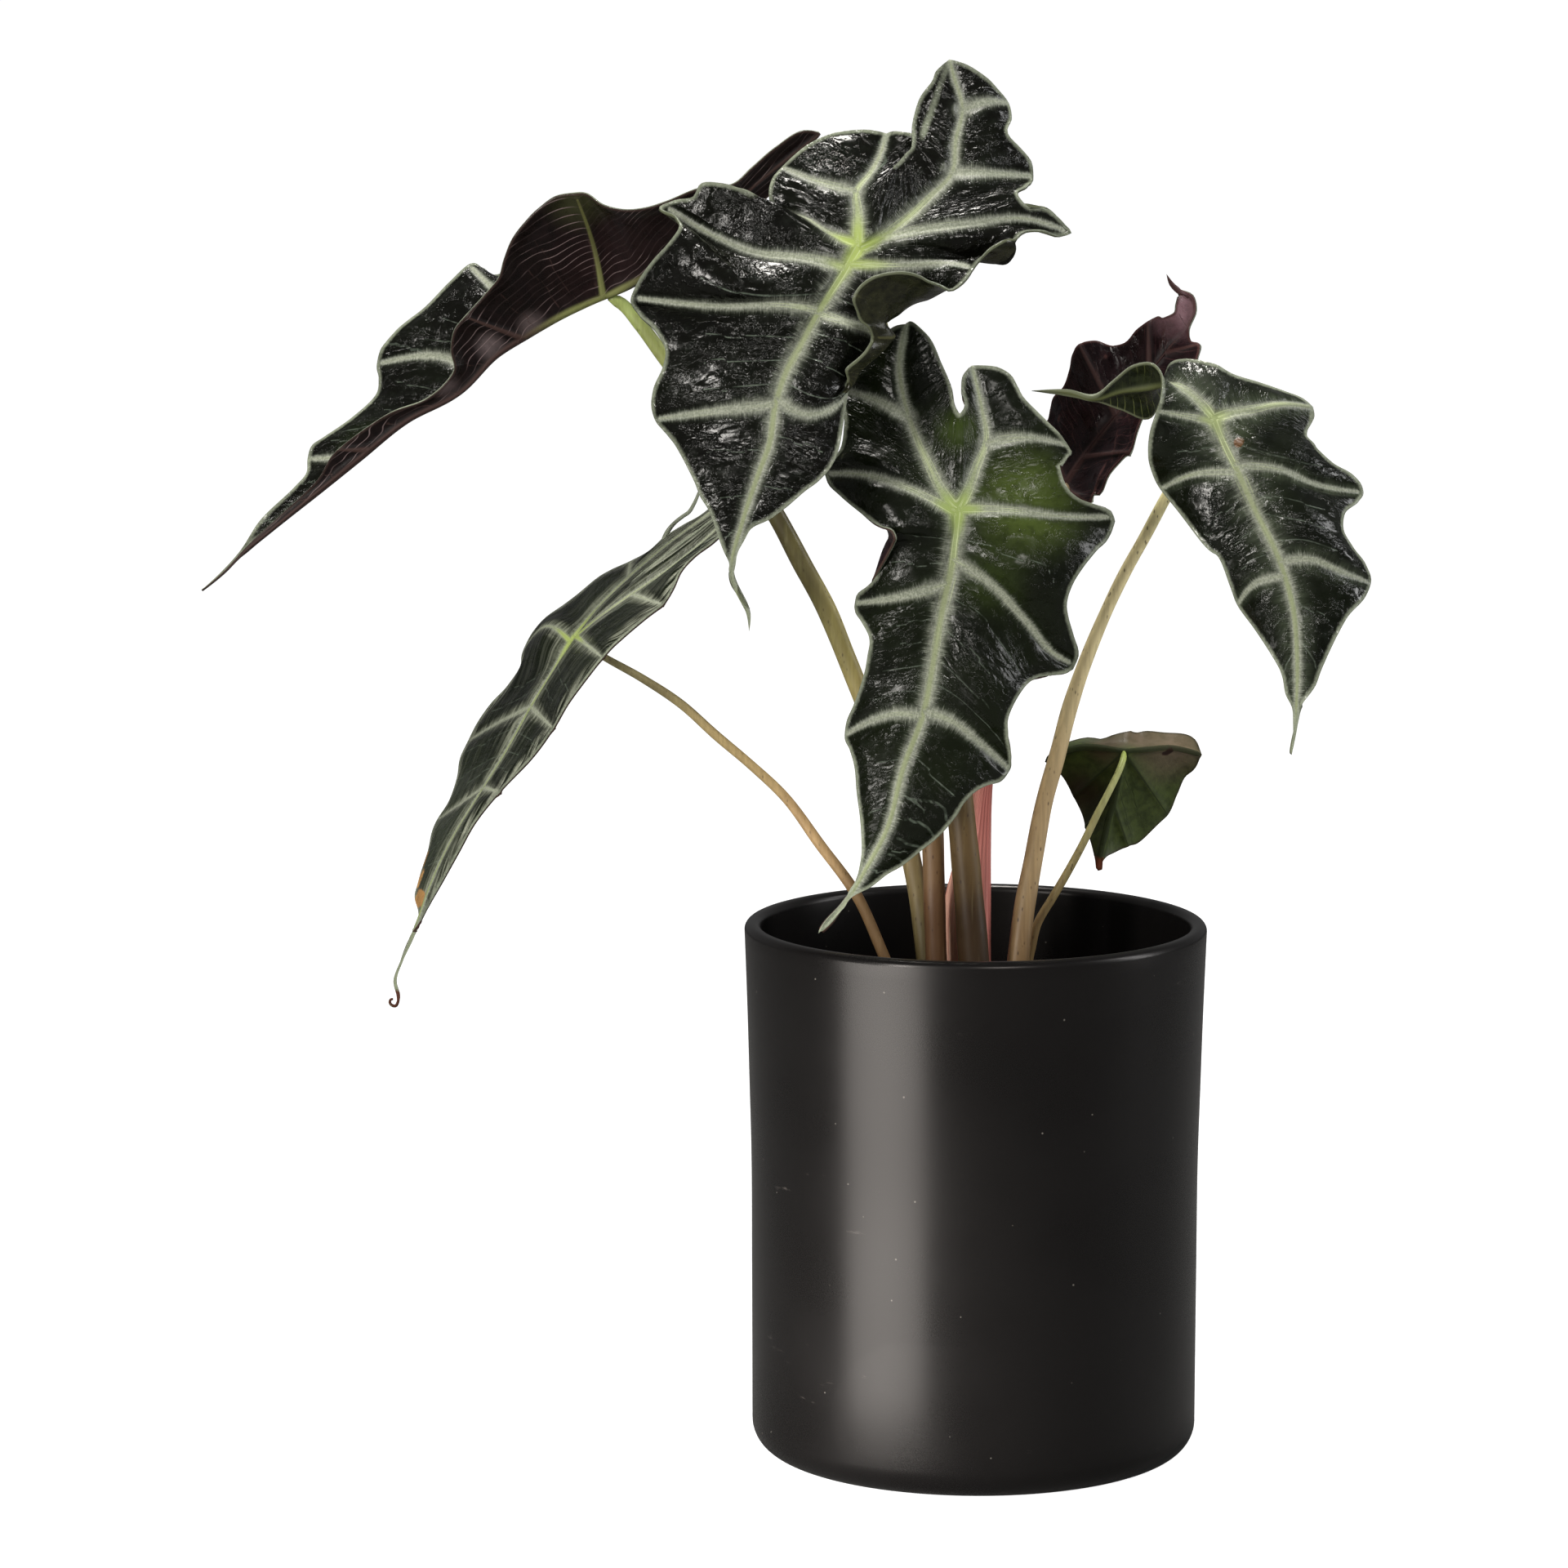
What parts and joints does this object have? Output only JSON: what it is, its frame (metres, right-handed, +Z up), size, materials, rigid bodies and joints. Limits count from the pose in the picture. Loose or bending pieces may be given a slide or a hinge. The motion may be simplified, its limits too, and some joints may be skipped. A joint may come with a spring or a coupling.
{
  "type": "potted african mask plant",
  "caption": "A potted African mask plant: dark arrow-shaped leaves with pale veins on slender stalks, standing in a plain matt black pot.",
  "frame": {"origin": "the centre of the cover pot's flat foot, on the surface it stands on", "axes": "+Z is up along the pot's axis, the plant as pictured faces -Y, and +X is the viewer's right"},
  "size_m": [0.3492, 0.1426, 0.4235],
  "materials": {
    "black_glaze": "matt black glaze with a soft sheen",
    "nursery_plastic": "thin dark brown moulded plastic",
    "potting_soil": "dark peaty potting mix",
    "rootstock": "brown fibrous rootstock",
    "papery_sheath": "thin salmon pink papery sheath",
    "leaf_stalk": "smooth beige to olive stalk with fine dark flecks",
    "leaf_blade": "glossy near-black green with pale grey-green veins and edge"
  },
  "bodies": {
    "root": {"cover_pot": "black_glaze", "growing_pot": "nursery_plastic", "soil": "potting_soil", "stub": "rootstock", "sheath": "papery_sheath", "top_stalk": "leaf_stalk", "far_left_stalk": "leaf_stalk", "low_left_stalk": "leaf_stalk", "middle_stalk": "leaf_stalk", "right_stalk": "leaf_stalk", "back_stalk": "leaf_stalk", "small_stalk": "leaf_stalk", "top_blade": "leaf_blade", "far_left_blade": "leaf_blade", "low_left_blade": "leaf_blade", "middle_blade": "leaf_blade", "right_blade": "leaf_blade", "back_blade": "leaf_blade", "small_blade": "leaf_blade"}
  },
  "joints": []
}
